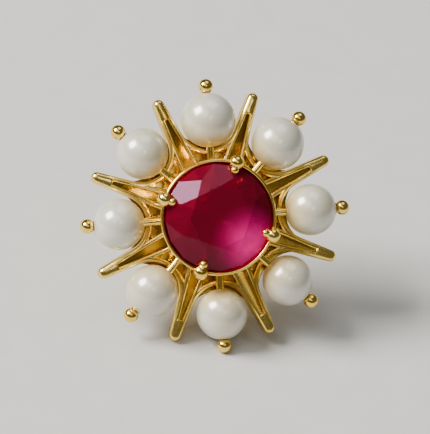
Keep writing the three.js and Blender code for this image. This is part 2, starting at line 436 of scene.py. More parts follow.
@dataclass(frozen=True)
class RubyFinish:
    """Deep crimson ruby with a painted pool of light, brighter pink and glowing, low on one side, and faint
    silk inside.

    Attributes:
        light_pool: middle of the painted pool of light in the row frame, in metres.
        core: radius within which the painted pool of light is brightest, in metres.
        light_pool_size: radius at which the painted pool of light has gone, in metres.
        fade: how quickly it fades between them, 1 being evenly.
        name: the material's name.
        deep: the crimson of most of the stone.
        bright: the pink painted into the pool of light.
        sheen: tint of the reflections on its facets.
        silk: cloudy patches inside it.
        silk_shares: share of the painted pink between these patches and in them.
        clear: share of the light that goes through the deep part and through the painted pool of light.
        painted_glow: strength of the glow that the painted pool of light gives off.
    """

    light_pool: Triple
    core: float = 0.39 * MM
    light_pool_size: float = 1.95 * MM
    fade: float = 1.7
    name: str = "ruby_crimson"
    deep: Triple = (0.31, 0.008, 0.034)
    bright: Triple = (1.0, 0.0, 0.3)
    sheen: Triple = (0.56, 0.38, 0.62)
    silk: Pattern = Pattern(0.8)
    silk_shares: tuple[float, float] = (0.75, 1.05)
    clear: tuple[float, float] = (0.7, 0.25)
    painted_glow: float = 0.36

    def material(self) -> bpy.types.Material:
        """Builds the material.

        Returns:
            The material.
        """
        material, build, shader = new_material(self.name)
        place = build.add("ShaderNodeTexCoord").outputs["Object"]
        # Painted light: a pool of brighter pink low on one side of the stone, clearer and glowing.
        apart = build.combine("VectorMath", "DISTANCE", place, self.light_pool)
        near = build.map_range(apart, self.core, self.light_pool_size, 1.0, 0.0)
        faded = build.combine("Math", "POWER", near, self.fade)
        silk = build.patches(place, self.silk, *self.silk_shares)
        share = build.combine("Math", "MULTIPLY", faded, silk)
        build.feed_all(
            shader,
            Base_Color=build.mix(share, self.deep, self.bright),
            Transmission_Weight=build.map_range(share, 0.0, 1.0, *self.clear),
            # Painted glow: the pool of light gives off light of its own.
            Emission_Strength=build.map_range(share, 0.0, 1.0, 0.0, self.painted_glow),
            Emission_Color=(*self.bright, 1.0),
            Roughness=0.03,
            IOR=1.48,
            Specular_IOR_Level=0.055,
            Specular_Tint=(*self.sheen, 1.0),
        )
        return material


# ---------------------------------------------------------------- the flower's frame


@dataclass(frozen=True)
class FlowerFrame:
    """Where the flower stands in the row frame.

    Attributes:
        to_row: matrix from the flower's frame in millimetres to the row frame in metres.
        pearl_ring: radius of the circle through the pearls' centres.
        pearl_height: height of that circle over the back disc's rear face.
        pearl_radii: radius of each pearl, pearl_1 first.
    """

    to_row: Matrix
    pearl_ring: float
    pearl_height: float
    pearl_radii: tuple[float, ...]

    @classmethod
    def from_cad(cls, record: dict) -> "FlowerFrame":
        """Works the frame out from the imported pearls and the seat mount.

        Args:
            record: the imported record.

        Returns:
            The flower's frame.
        """
        boxes = [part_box(f"pearl_{index + 1}") for index in range(PETALS)]
        centres = [(Vector(low) + Vector(high)) / 2 for low, high in boxes]
        radii = tuple(max(Vector(high) - Vector(low)) / 2 / MM for low, high in boxes)
        middle = sum(centres, Vector()) / PETALS
        seat = next(mount for mount in record["mounts"] if mount["name"] == "skin_seat")
        face = -Vector(seat["axis"]).normalized()
        height = (middle - Vector(seat["pos_m"])).dot(face)
        top = centres[0] - middle
        top = (top - face * top.dot(face)).normalized()
        turn = Matrix((top.cross(face), top, face)).transposed().to_4x4()
        ring = sum((centre - middle).length for centre in centres) / PETALS
        to_row = Matrix.Translation(middle - face * height) @ turn @ Matrix.Scale(MM, 4)
        return cls(to_row, ring / MM, height / MM, radii)

    @property
    def face(self) -> Vector:
        """Direction out of the flower's face, in the row frame."""
        return (self.to_row.to_3x3() @ OUT).normalized()

    def point(self, place: Vector) -> Vector:
        """A point of the flower's frame, in the row frame."""
        return self.to_row @ place

    def on_axis(self, height: float) -> Vector:
        """A point of the flower's axis, in the row frame."""
        return self.point(OUT * height)


# ---------------------------------------------------------------- mesh making


def evaluated(holder: bpy.types.Object) -> Mesh:
    """Turns an object with its modifiers into a plain mesh and removes the object.

    Args:
        holder: a linked object, mesh or curve.

    Returns:
        The plain mesh.
    """
    graph = bpy.context.evaluated_depsgraph_get()
    mesh = bpy.data.meshes.new_from_object(holder.evaluated_get(graph), depsgraph=graph)
    bpy.data.objects.remove(holder, do_unlink=True)
    return mesh


def linked(name: str, data: bpy.types.ID) -> bpy.types.Object:
    """Links a new object into the scene.

    Args:
        name: its name.
        data: its mesh, curve, light or camera.

    Returns:
        The object.
    """
    holder = bpy.data.objects.new(name, data)
    bpy.context.scene.collection.objects.link(holder)
    return holder


def mesh_of(build: Callable[[Grid], None]) -> Mesh:
    """Makes a mesh by way of a bmesh.

    Args:
        build: fills the bmesh that it is given.

    Returns:
        The mesh.
    """
    grid = bmesh.new()
    build(grid)
    mesh = bpy.data.meshes.new("shape")
    grid.to_mesh(mesh)
    grid.free()
    return mesh


def faced_outwards(grid: Grid) -> None:
    """Welds a bmesh's doubled points and turns its faces outwards."""
    bmesh.ops.remove_doubles(grid, verts=grid.verts, dist=WELD)
    bmesh.ops.recalc_face_normals(grid, faces=grid.faces)


def turned(profile: Profile, sides: int = 96, closed: bool = True) -> Mesh:
    """Turns a profile about the flower's axis.

    Args:
        profile: radius and height pairs.
        sides: steps round the axis.
        closed: whether the profile joins its last point to its first.

    Returns:
        The mesh.
    """

    def build(grid: Grid) -> None:
        """Joins rings of points, one ring for each place of the profile.

        Args:
            grid: the bmesh that it fills.
        """
        rings = []
        for radius, height in profile:
            spots = [polar(radius, 2 * math.pi * step / sides, height) for step in range(sides)]
            rings.append([grid.verts.new(spot) for spot in (spots if radius > 0 else spots[:1])])
        pairs = list(zip(rings, rings[1:])) + ([(rings[-1], rings[0])] if closed else [])
        for first, second in pairs:
            for step in range(sides):
                after = (step + 1) % sides
                corners = [first[step % len(first)], first[after % len(first)]]
                corners += [second[after % len(second)], second[step % len(second)]]
                distinct = list(dict.fromkeys(corners))
                if len(distinct) > 2:
                    grid.faces.new(distinct)
        faced_outwards(grid)

    return mesh_of(build)


def arc(centre: Vector, radius: float, start: float, end: float, steps: int) -> Outline:
    """Points of an arc about a centre, both ends included."""
    angles = [start + (end - start) * step / steps for step in range(steps + 1)]
    return [centre + polar(radius, angle) for angle in angles]


def sheet_of(outlines: Iterable[Outline], edge: float) -> Mesh:
    """Fills outlines, inner ones as holes, to a plate with rounded edges.

    Args:
        outlines: closed outlines in the plane z = 0.
        edge: radius of its rounded edges; the plate is four times as thick.

    Returns:
        The mesh, centred on z = 0.
    """
    curve = bpy.data.curves.new("sheet", "CURVE")
    curve.dimensions = "2D"
    curve.fill_mode = "BOTH"
    curve.extrude = edge
    curve.bevel_depth = edge
    curve.bevel_resolution = 3
    curve.offset = -edge
    for outline in outlines:
        spline = curve.splines.new("POLY")
        spline.points.add(len(outline) - 1)
        for point, spot in zip(spline.points, outline):
            point.co = (spot.x, spot.y, 0.0, 1.0)
        spline.use_cyclic_u = True
    mesh = evaluated(linked("sheet", curve))
    bpy.data.curves.remove(curve)
    return mesh


def diced(mesh: Mesh, step: float) -> None:
    """Cuts a flat mesh along a square grid, so that it can follow a curved surface.

    Args:
        mesh: the mesh, changed in place.
        step: spacing of the grid.
    """
    grid = bmesh.new()
    grid.from_mesh(mesh)
    for axis in (Vector((1.0, 0.0, 0.0)), Vector((0.0, 1.0, 0.0))):
        count = int(max(vertex.co.dot(axis) for vertex in grid.verts) / step)
        for number in range(-count, count + 1):
            parts = [*grid.verts, *grid.edges, *grid.faces]
            spot = axis * number * step
            bmesh.ops.bisect_plane(grid, geom=parts, dist=WELD, plane_co=spot, plane_no=axis)
    grid.to_mesh(mesh)
    grid.free()


def joined(meshes: Sequence[Mesh]) -> Mesh:
    """Joins meshes into one and removes them.

    Args:
        meshes: the meshes.

    Returns:
        The joined mesh.
    """

    def build(grid: Grid) -> None:
        """Adds every mesh to the bmesh, then removes it.

        Args:
            grid: the bmesh that it fills.
        """
        for mesh in meshes:
            grid.from_mesh(mesh)
            bpy.data.meshes.remove(mesh)

    return mesh_of(build)


@dataclass
class Workshop:
    """Attributes:
        flower: where the flower stands.
        pieces: names of the pieces made so far.
    """

    flower: FlowerFrame
    pieces: list[str] = field(default_factory=list)

    def finish(
        self,
        name: str,
        mesh: Mesh,
        material: bpy.types.Material,
        slot: str,
        nodes: Sequence[str] = (),
        sharp: float = 30.0,
    ) -> None:
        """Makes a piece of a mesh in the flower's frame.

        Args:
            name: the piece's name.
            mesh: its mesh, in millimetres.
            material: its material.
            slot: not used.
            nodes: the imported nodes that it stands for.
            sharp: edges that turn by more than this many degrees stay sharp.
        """
        mesh.transform(self.flower.to_row)
        mesh.materials.clear()
        mesh.materials.append(material)
        mesh.shade_smooth()
        mesh.set_sharp_from_angle(angle=math.radians(sharp))
        mesh.name = name
        piece = linked(name, mesh)
        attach(piece, "root")
        if nodes:
            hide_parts(*nodes)
        self.pieces.append(name)
        LOG.info("%s: %d faces", name, len(mesh.polygons))


# ---------------------------------------------------------------- sub-assemblies


@dataclass(frozen=True)
class Slope:
    """A surface of revolution, level over the hub and straight from its edge to the ray tips.

    Attributes:
        hub: height over the hub.
        tip: height at the ray tips.
        hub_radius: radius of the hub.
        tip_radius: radius of the circle through the ray tips' centres.
    """

    hub: float
    tip: float
    hub_radius: float = 3.0
    tip_radius: float = 5.88

    def height(self, radius: float) -> float:
        """Height at a radius."""
        share = max(0.0, (radius - self.hub_radius) / (self.tip_radius - self.hub_radius))
        return self.hub + share * (self.tip - self.hub)


@dataclass
class StarPlate:
    """The pierced plate with its split rays and the cups that follow the pearls.

    Attributes:
        flower: where the flower stands.
        finish: the gold it is made in.
        ray_tip: radius of the circle through the tips' centres.
        tip_radius: radius of a ray's round tip.
        leg_angle: slope of each leg to its ray's axis.
        leg_wall: thickness of a leg.
        cup_wall: thickness of a cup.
        groove_end: where the groove between two legs stops.
        root: radius at which the legs start.
        back: underside of the plate.
        floor: upper side of the plate.
        top: upper edges of rays and cups.
        hole_ring: radius of the circle of pierced holes.
        hole_radius: radius of a hole.
        hole_side: angle of a hole to the nearest pearl's axis.
        ledge: width of the ledge under a pearl's inner side.
        wire_edge: radius of the rounded edges of rays and cups.
        crown: how far a ray's arched top rises over the walls' level.
        crown_start: distance along the ray at which the arch starts.
        crown_run: length over which it comes in.
        plate_edge: radius of the rounded edges of the plate.
        dice: spacing of the grid that the plate is cut by before it is sloped.
        wall_dice: the same for the rays and cups.
        wall_lift: how far the walls' underside lies above the plate's.
        plate_scale: what keeps the plate's rim just inside the walls' outer side.
        ledge_scale: what keeps the ledges' upper side just under the plate's.
    """

    flower: FlowerFrame
    finish: GoldFinish
    ray_tip: float = 5.88
    tip_radius: float = 0.27
    leg_angle: float = math.radians(4)
    leg_wall: float = 0.26
    cup_wall: float = 0.25
    groove_end: float = 5.1
    root: float = 2.05
    back: Slope = Slope(0.4, 0.98)
    floor: Slope = Slope(0.75, 1.24)
    top: Slope = Slope(1.7, 1.52)
    hole_ring: float = 2.9
    hole_radius: float = 0.2
    hole_side: float = math.radians(9.5)
    ledge: float = 0.32
    wire_edge: float = 0.115
    crown: float = 0.09
    crown_start: float = 3.4
    crown_run: float = 2.1
    plate_edge: float = 0.03
    dice: float = 0.4
    wall_dice: float = 0.13
    wall_lift: float = 0.12
    plate_scale: float = 0.998
    ledge_scale: float = 0.99

    @property
    def leg_distance(self) -> float:
        """Distance of a leg's outer side from the flower's axis."""
        return self.tip_radius + self.ray_tip * math.sin(self.leg_angle)

    @property
    def open_angle(self) -> float:
        """Angle between a leg's outer side and the next pearl's axis."""
        return HALF_STEP + self.leg_angle

    @property
    def cup_radius(self) -> float:
        """Radius of the cups, which are tangent to the legs."""
        return self.flower.pearl_ring * math.sin(self.open_angle) - self.leg_distance

    def half_width(self, along: float) -> float:
        """Half of a ray's width at a distance along it."""
        return (self.leg_distance - along * math.sin(self.leg_angle)) / math.cos(self.leg_angle)

    def on_leg(self, ray: float, side: int, along: float, inward: float) -> Vector:
        """A point on a leg's side.

        Args:
            ray: angle of the ray's axis.
            side: 1 for the leg on the side of larger angles, -1 for the other.
            along: distance along the ray's axis.
            inward: how far in from the leg's outer side.

        Returns:
            The point.
        """
        return polar(along, ray) + polar(self.half_width(along) - inward, ray + side * QUARTER)

    def cup_arc(self, petal: float, radius: float, turn: float, steps: int) -> Outline:
        """The arc round a cup's inner side, turning clockwise.

        Args:
            petal: angle of the pearl's axis.
            radius: the arc's radius.
            turn: where it starts, counted from the pearl's axis; it ends as far on the other side.
            steps: how many steps it has.

        Returns:
            The arc's points.
        """
        cup = polar(self.flower.pearl_ring, petal)
        return arc(cup, radius, petal - turn, petal + turn - 2 * math.pi, steps)

    def outer_outline(self) -> Outline:
        """The plate's edge: round ray tips and the cups' arcs, joined by the legs.

        Returns:
            The closed outline.
        """
        outline: Outline = []
        tip_turn = QUARTER - self.leg_angle
        cup_turn = QUARTER + self.open_angle
        for index in reversed(range(PETALS)):
            ray = ray_angle(index)
            tip = polar(self.ray_tip, ray)
            outline += arc(tip, self.tip_radius, ray - tip_turn, ray + tip_turn, steps=14)
            outline += self.cup_arc(petal_angle(index), self.cup_radius, cup_turn, steps=28)
        return outline

    def inner_outline(self) -> Outline:
        """The inner edge of the walls: grooves between the legs and pockets before the cups.

        Returns:
            The closed outline.
        """
        outline: Outline = []
        cup_outer = self.cup_radius + self.cup_wall
        cup_turn = QUARTER + self.open_angle + math.acos(self.cup_radius / cup_outer)
        up = [(self.root, 0.0), (self.root, self.leg_wall), (self.groove_end, self.leg_wall)]
        for index in reversed(range(PETALS)):
            ray = ray_angle(index)
            outline += [self.on_leg(ray, -1, *place) for place in up]
            outline += [self.on_leg(ray, 1, *place) for place in reversed(up)]
            outline += self.cup_arc(petal_angle(index), cup_outer, cup_turn, steps=20)
        return outline

    def hole_outlines(self) -> list[Outline]:
        """The holes pierced either side of each pin.

        Returns:
            The closed outlines.
        """
        angles = [petal_angle(index) + side * self.hole_side for index in range(PETALS) for side in (-1, 1)]
        centres = [polar(self.hole_ring, angle) for angle in angles]
        return [arc(centre, self.hole_radius, 0.0, 2 * math.pi, steps=20)[:-1] for centre in centres]

    def ledge_outlines(self) -> list[Outline]:
        """Crescents that narrow from a pearl's inner side towards the rays beside it.

        Returns:
            The closed outlines.
        """
        outlines = []
        spread = QUARTER - self.open_angle
        turns = [spread * (step / 12 - 1) for step in range(25)]
        for index in range(PETALS):
            cup = polar(self.flower.pearl_ring, petal_angle(index))
            inwards = petal_angle(index) + math.pi
            inner = [cup + polar(self.ledge_radius(turn, spread), inwards + turn) for turn in turns]
            middle = self.cup_radius + self.cup_wall / 2
            outlines.append(inner + arc(cup, middle, inwards + spread, inwards - spread, steps=24))
        return outlines

    def ledge_radius(self, turn: float, spread: float) -> float:
        """Radius of a ledge's inner edge at an angle from the flower's side."""
        return self.cup_radius - self.ledge * math.cos(turn / spread * QUARTER)

    def rise(self, spot: Vector) -> float:
        """How far the arched top of a ray lies over the walls' level.

        Args:
            spot: a point of the plane z = 0.

        Returns:
            The arch's height there, 0 between the rays.
        """
        index = round((QUARTER - HALF_STEP - math.atan2(spot.y, spot.x)) / (2 * HALF_STEP))
        ray = ray_angle(index)
        along, off = spot.dot(polar(1.0, ray)), abs(spot.dot(polar(1.0, ray + QUARTER)))
        if along > self.ray_tip:
            half, off = self.tip_radius, math.hypot(along - self.ray_tip, off)
        else:
            half = self.half_width(along)
        share = min(1.0, max(0.0, (along - self.crown_start) / self.crown_run))
        return self.crown * share * share * (3.0 - 2.0 * share) * max(0.0, 1.0 - (off / half) ** 2)

    def crowned(self, walls: Mesh) -> None:
        """Gives the rays' tops their arch.

        Args:
            walls: the walls' mesh, changed in place.
        """
        for vertex in walls.vertices:
            spot = Vector((vertex.co.x, vertex.co.y, 0.0))
            if vertex.co.z > self.top.height(spot.length) - self.wire_edge - TOUCH:
                vertex.co.z += self.rise(spot)

    def raised(
        self, outlines: Iterable[Outline], edge: float, upper: Slope, dice: float, lift: float = 0.0
    ) -> Mesh:
        """Makes a plate between the back and another slope, with its rounded edges kept.

        Args:
            outlines: the plate's outlines.
            edge: radius of its rounded edges.
            upper: where its upper side goes.
            dice: spacing of the grid that it is cut by.
            lift: how far its underside lies above the back.

        Returns:
            The mesh.
        """
        mesh = sheet_of(outlines, edge)
        diced(mesh, dice)
        for vertex in mesh.vertices:
            radius = vertex.co.to_2d().length
            surface, offset = (upper, -2 * edge) if vertex.co.z > 0 else (self.back, 2 * edge + lift)
            vertex.co.z = surface.height(radius) + vertex.co.z + offset
        return mesh

    def build(self, shop: Workshop) -> None:
        """Makes the plate, its ledges and its walls as one piece.

        Args:
            shop: places the piece.
        """
        rim = self.outer_outline()
        walls = self.raised(
            [rim, self.inner_outline()], self.wire_edge, self.top, self.wall_dice, self.wall_lift
        )
        self.crowned(walls)
        base = self.raised([rim, *self.hole_outlines()], self.plate_edge, self.floor, self.dice)
        base.transform(Matrix.Diagonal((self.plate_scale, self.plate_scale, 1.0, 1.0)))
        ledges = self.raised(self.ledge_outlines(), self.plate_edge, self.floor, self.dice)
        ledges.transform(Matrix.Diagonal((1.0, 1.0, self.ledge_scale, 1.0)))
        whole = joined([walls, base, ledges])
        shop.finish("star_plate", whole, self.finish.material(), "gold", ["setting"])


@dataclass
class Collet:
    """The ruby's cup: a flaring wall, a sloping seat and a thin rounded rim.

    Attributes:
        finish: the gold it is made in.
        foot: height of its lower edge.
        inner_foot: inner radius of its lower half.
        outer_foot: outer radius of its lower edge.
        waist: outer radius and height where it starts to flare.
        flare: share of the rim's half width that the wall reaches below the girdle.
        girdle: height of the ruby's girdle.
        inner_rim: radius inside the rim.
        rim_wall: thickness of the rim.
        rim_top: height of the rim's top.
        seat_width: width of the seat under the ruby.
        seat_drop: how far the seat slopes down.
        play: how far the inner corners lie below the girdle and the waist.
    """

    finish: GoldFinish
    foot: float = 0.45
    inner_foot: float = 1.9
    outer_foot: float = 2.15
    waist: tuple[float, float] = (2.3, 1.7)
    flare: float = 0.6
    girdle: float = 2.7
    inner_rim: float = 2.6
    rim_wall: float = 0.16
    rim_top: float = 2.88
    seat_width: float = 0.35
    seat_drop: float = 0.26
    play: float = 0.05

    def profile(self) -> Profile:
        """The wall's section, with a half-round rim.

        Returns:
            Radius and height pairs.
        """
        half = self.rim_wall / 2
        middle = self.inner_rim + half
        rim = [
            (middle + half * math.cos(angle), self.rim_top - half + half * math.sin(angle))
            for angle in (math.pi * step / 8 for step in range(9))
        ]
        return [
            (self.inner_foot, self.foot),
            (self.outer_foot, self.foot),
            self.waist,
            (middle + half * self.flare, self.girdle - self.rim_wall),
            (middle + half, self.girdle),
            *rim,
            (self.inner_rim, self.girdle - self.play),
            (self.inner_rim - self.seat_width, self.girdle - self.play - self.seat_drop),
            (self.inner_foot, self.waist[1] - self.play),
        ]

    def build(self, shop: Workshop) -> None:
        """Makes the collet."""
        shop.finish("collet", turned(self.profile(), sides=128), self.finish.material(), "gold")


class PatternTree:
    """A geometry node tree that repeats a shape on points and ends realized and dressed.

    Attributes:
        LAID: rotation that lays a shape's +Z along +X.
    """

    LAID = (0.0, QUARTER, 0.0)

    def __init__(self, name: str, sizes: dict[str, float]) -> None:
        """Starts the tree.

        Args:
            name: the tree's name.
            sizes: its named number inputs with their values.
        """
        self.tree = bpy.data.node_groups.new(name, "GeometryNodeTree")
        self.sizes = sizes
        for key, way, kind in (
            ("Geometry", "INPUT", "Geometry"),
            *((key, "INPUT", "Float") for key in sizes),
            ("Material", "INPUT", "Material"),
            ("Geometry", "OUTPUT", "Geometry"),
        ):
            socket = self.tree.interface.new_socket(key, in_out=way, socket_type=f"NodeSocket{kind}")
            if key in sizes:
                socket.default_value = sizes[key]
        self.build = NodeBuilder(self.tree)
        self.source = self.build.add("NodeGroupInput")

    def value(self, name: str) -> Socket:
        """One of the named inputs."""
        return self.source.outputs[name]

    def outwards(self) -> Socket:
        """Rotation that turns a shape's +X away from the flower's axis.

        Returns:
            The rotation.
        """
        spot = self.build.add("GeometryNodeInputPosition").outputs[0]
        level = self.build.combine("VectorMath", "MULTIPLY", spot, (1.0, 1.0, 0.0))
        axes = {"axis": "X", "pivot_axis": "Z"}
        turn = self.build.add("FunctionNodeAlignRotationToVector", axes, Vector=level)
        return turn.outputs[0]

    def ball(self, radius: str, segments: int, rings: int) -> Socket:
        """A ball whose radius is a named input."""
        sizes = {"Segments": segments, "Rings": rings, "Radius": self.value(radius)}
        return self.build.add("GeometryNodeMeshUVSphere", **sizes).outputs["Mesh"]

    def placed(self, shape: Socket, **moves: object) -> Socket:
        """A shape after a translation and a rotation."""
        return self.build.add("GeometryNodeTransform", Geometry=shape, **moves).outputs[0]

    def finish(self, shapes: Sequence[Socket]) -> None:
        """Puts the shapes on every point, turned outwards, then realizes and dresses them.

        Args:
            shapes: the geometry to repeat.
        """
        whole = self.build.add("GeometryNodeJoinGeometry")
        for shape in shapes:
            self.build.feed(whole, "Geometry", shape)
        place = self.build.add(
            "GeometryNodeInstanceOnPoints",
            Points=self.value("Geometry"),
            Instance=whole.outputs[0],
            Rotation=self.outwards(),
        )
        real = self.build.add("GeometryNodeRealizeInstances", Geometry=place.outputs[0])
        looks = {"Geometry": real.outputs[0], "Material": self.value("Material")}
        dress = self.build.add("GeometryNodeSetMaterial", **looks)
        self.build.add("NodeGroupOutput", Geometry=dress.outputs[0])

    def run(self, name: str, spots: Sequence[Vector], material: bpy.types.Material) -> Mesh:
        """Runs the tree on points.

        Args:
            name: name of the object that holds it meanwhile.
            spots: the points.
            material: the material that it sets.

        Returns:
            The plain mesh.
        """
        points = bpy.data.meshes.new(name)
        points.from_pydata([tuple(spot) for spot in spots], [], [])
        holder = linked(name, points)
        modifier = holder.modifiers.new("pattern", "NODES")
        modifier.node_group = self.tree
        values = {**self.sizes, "Material": material}
        for item in self.tree.interface.items_tree:
            if item.in_out == "INPUT" and item.name in values:
                modifier[item.identifier] = values[item.name]
        mesh = evaluated(holder)
        bpy.data.meshes.remove(points)
        return mesh


@dataclass
class Pins:
    """The radial pins that carry the pearls, each ending in a ball.

    Attributes:
        flower: where the flower stands.
        finish: the gold they are made in.
        radius: radius of a pin.
        ball_radius: radius of the ball at its end.
        ball_stand: from the pearl's surface to the ball's centre.
        root: radius at which the longest pin starts.
    """

    flower: FlowerFrame
    finish: GoldFinish
    radius: float = 0.19
    ball_radius: float = 0.35
    ball_stand: float = 0.28
    root: float = 2.2

    def spots(self) -> list[Vector]:
        """Centres of the balls."""
        reach = [self.flower.pearl_ring + radius + self.ball_stand for radius in self.flower.pearl_radii]
        return [polar(far, petal_angle(index), self.flower.pearl_height) for index, far in enumerate(reach)]

    def build(self, shop: Workshop) -> None:
        """Makes all the pins by one node tree.

        Args:
            shop: places the piece.
        """
        spots = self.spots()
        length = max(spot.to_2d().length for spot in spots) - self.root
        sizes = {"Ball Radius": self.ball_radius, "Pin Radius": self.radius, "Pin Length": length}
        tree = PatternTree("radial_pins", sizes)
        add, depth = tree.build.add, tree.value("Pin Length")
        rod = add("GeometryNodeMeshCylinder", Vertices=32, Radius=tree.value("Pin Radius"), Depth=depth)
        middle = add("ShaderNodeCombineXYZ", X=tree.build.combine("Math", "MULTIPLY", depth, -0.5))
        moves = {"Translation": middle.outputs[0], "Rotation": tree.LAID}
        laid = tree.placed(rod.outputs["Mesh"], **moves)
        ball = tree.placed(tree.ball("Ball Radius", segments=40, rings=24), Rotation=tree.LAID)
        tree.finish([laid, ball])
        material = self.finish.material()
        shop.finish("pins", tree.run("pins_points", spots, material), material, "gold")


@dataclass
class Claws:
    """Four claws that end in balls, each with a nib over the ruby's edge.

    Attributes:
        finish: the gold they are made in.
        count: how many claws there are.
        foot: ring radius, height and own radius of the foot.
        ball: the same of the ball.
        nib: the same of the nib.
        taper: share of the next ball's radius that a rod narrows to.
    """

    finish: GoldFinish
    count: int = 4
    foot: Triple = (2.25, 0.9, 0.2)
    ball: Triple = (2.72, 2.92, 0.37)
    nib: Triple = (2.34, 3.06, 0.2)
    taper: float = 0.8

    def from_ball(self, spot: Triple) -> Triple:
        """Where a spot of the claw lies as seen from its ball."""
        return (spot[0] - self.ball[0], 0.0, spot[1] - self.ball[1])

    def rod(self, tree: PatternTree, start: Triple, end: Triple) -> Socket:
        """A tapered rod between two spots of the claw.

        Args:
            tree: the tree that it is added to.
            start: ring radius, height and own radius of the first.
            end: the same of the second.

        Returns:
            The rod, placed as seen from the ball.
        """
        across, up = end[0] - start[0], end[1] - start[1]
        cone = tree.build.add(
            "GeometryNodeMeshCone",
            Vertices=32,
            Radius_Top=end[2] * self.taper,
            Radius_Bottom=start[2],
            Depth=math.hypot(across, up),
        )
        lean = (0.0, math.atan2(across, up), 0.0)
        return tree.placed(cone.outputs["Mesh"], Translation=self.from_ball(start), Rotation=lean)

    def build(self, shop: Workshop) -> None:
        """Makes the claws by one node tree.

        Args:
            shop: places the piece.
        """
        tree = PatternTree("claws", {"Ball Radius": self.ball[2], "Nib Radius": self.nib[2]})
        nib = tree.ball("Nib Radius", segments=32, rings=16)
        shapes = [
            tree.ball("Ball Radius", segments=40, rings=24),
            tree.placed(nib, Translation=self.from_ball(self.nib)),
            self.rod(tree, self.foot, self.ball),
            self.rod(tree, self.ball, self.nib),
        ]
        tree.finish(shapes)
        steps = range(0, PETALS, PETALS // self.count)
        spots = [polar(self.ball[0], ray_angle(step), self.ball[1]) for step in steps]
        material = self.finish.material()
        shop.finish("claws", tree.run("claws_points", spots, material), material, "gold")


@dataclass
class Ruby:
    """A round brilliant with a wide table.

    Attributes:
        flower: where the flower stands.
        radius: radius of the girdle.
        table: radius of the table's corners.
        star: radius of the star facets' lower corners.
        culet: radius of the lower girdle facets' lower corners.
        crown: height of the table over the girdle.
        girdle: height of the girdle band.
        pavilion: depth below the girdle.
        height: height of the girdle's lower edge.
        edge: width of the worn facet edges.
        flat: turn between faces up to which they are one facet, in radians.
        worn: turn of an edge from which it is worn, in radians.
        light_pool: middle of its painted pool of light, from the axis at the girdle's lower edge.
    """

    flower: FlowerFrame
    radius: float = 2.55
    table: float = 1.45
    star: float = 1.95
    culet: float = 0.64
    crown: float = 0.68
    girdle: float = 0.1
    pavilion: float = 1.68
    height: float = 2.7
    edge: float = 0.012
    flat: float = 0.01
    worn: float = math.radians(5)
    light_pool: Triple = (1.3, -1.25, 0.5)

    def corners(self) -> list[Vector]:
        """The corners of every facet, about the girdle's lower edge.

        Returns:
            The corners.
        """
        kite_slope = self.crown / (self.radius - self.table)
        main_slope = self.pavilion / self.radius
        star_height = self.girdle + (self.radius - self.star * math.cos(HALF_STEP)) * kite_slope
        culet_height = (self.culet * math.cos(HALF_STEP) - self.radius) * main_slope
        corners = [OUT * -self.pavilion]
        for index in range(PETALS):
            main, half = petal_angle(index), ray_angle(index)
            corners.append(polar(self.table, main, self.girdle + self.crown))
            corners.append(polar(self.star, half, star_height))
            corners.append(polar(self.culet, half, culet_height))
            corners += [polar(self.radius, angle, z) for angle in (main, half) for z in (self.girdle, 0.0)]
        return corners

    def mesh(self) -> Mesh:
        """The facets, with their edges very slightly worn.

        Returns:
            The mesh.
        """

        def build(grid: Grid) -> None:
            """Wraps the facets round the corners.

            Args:
                grid: the bmesh that it fills.
            """
            verts = [grid.verts.new(corner + OUT * self.height) for corner in self.corners()]
            bmesh.ops.convex_hull(grid, input=verts)
            bmesh.ops.dissolve_limit(grid, angle_limit=self.flat, verts=grid.verts, edges=grid.edges)
            faced_outwards(grid)

        holder = linked("ruby_facets", mesh_of(build))
        bevel = holder.modifiers.new("edges", "BEVEL")
        bevel.width = self.edge
        bevel.segments = 1
        bevel.limit_method = "ANGLE"
        bevel.angle_limit = self.worn
        return evaluated(holder)

    def build(self, shop: Workshop) -> None:
        """Makes the ruby.

        Args:
            shop: places the piece.
        """
        # The ruby's finish paints a glowing pool of light low on one side.
        finish = RubyFinish(tuple(self.flower.point(OUT * self.height + Vector(self.light_pool))))
        shop.finish("ruby_stone", self.mesh(), finish.material(), "ruby", ["ruby"], sharp=1.0)


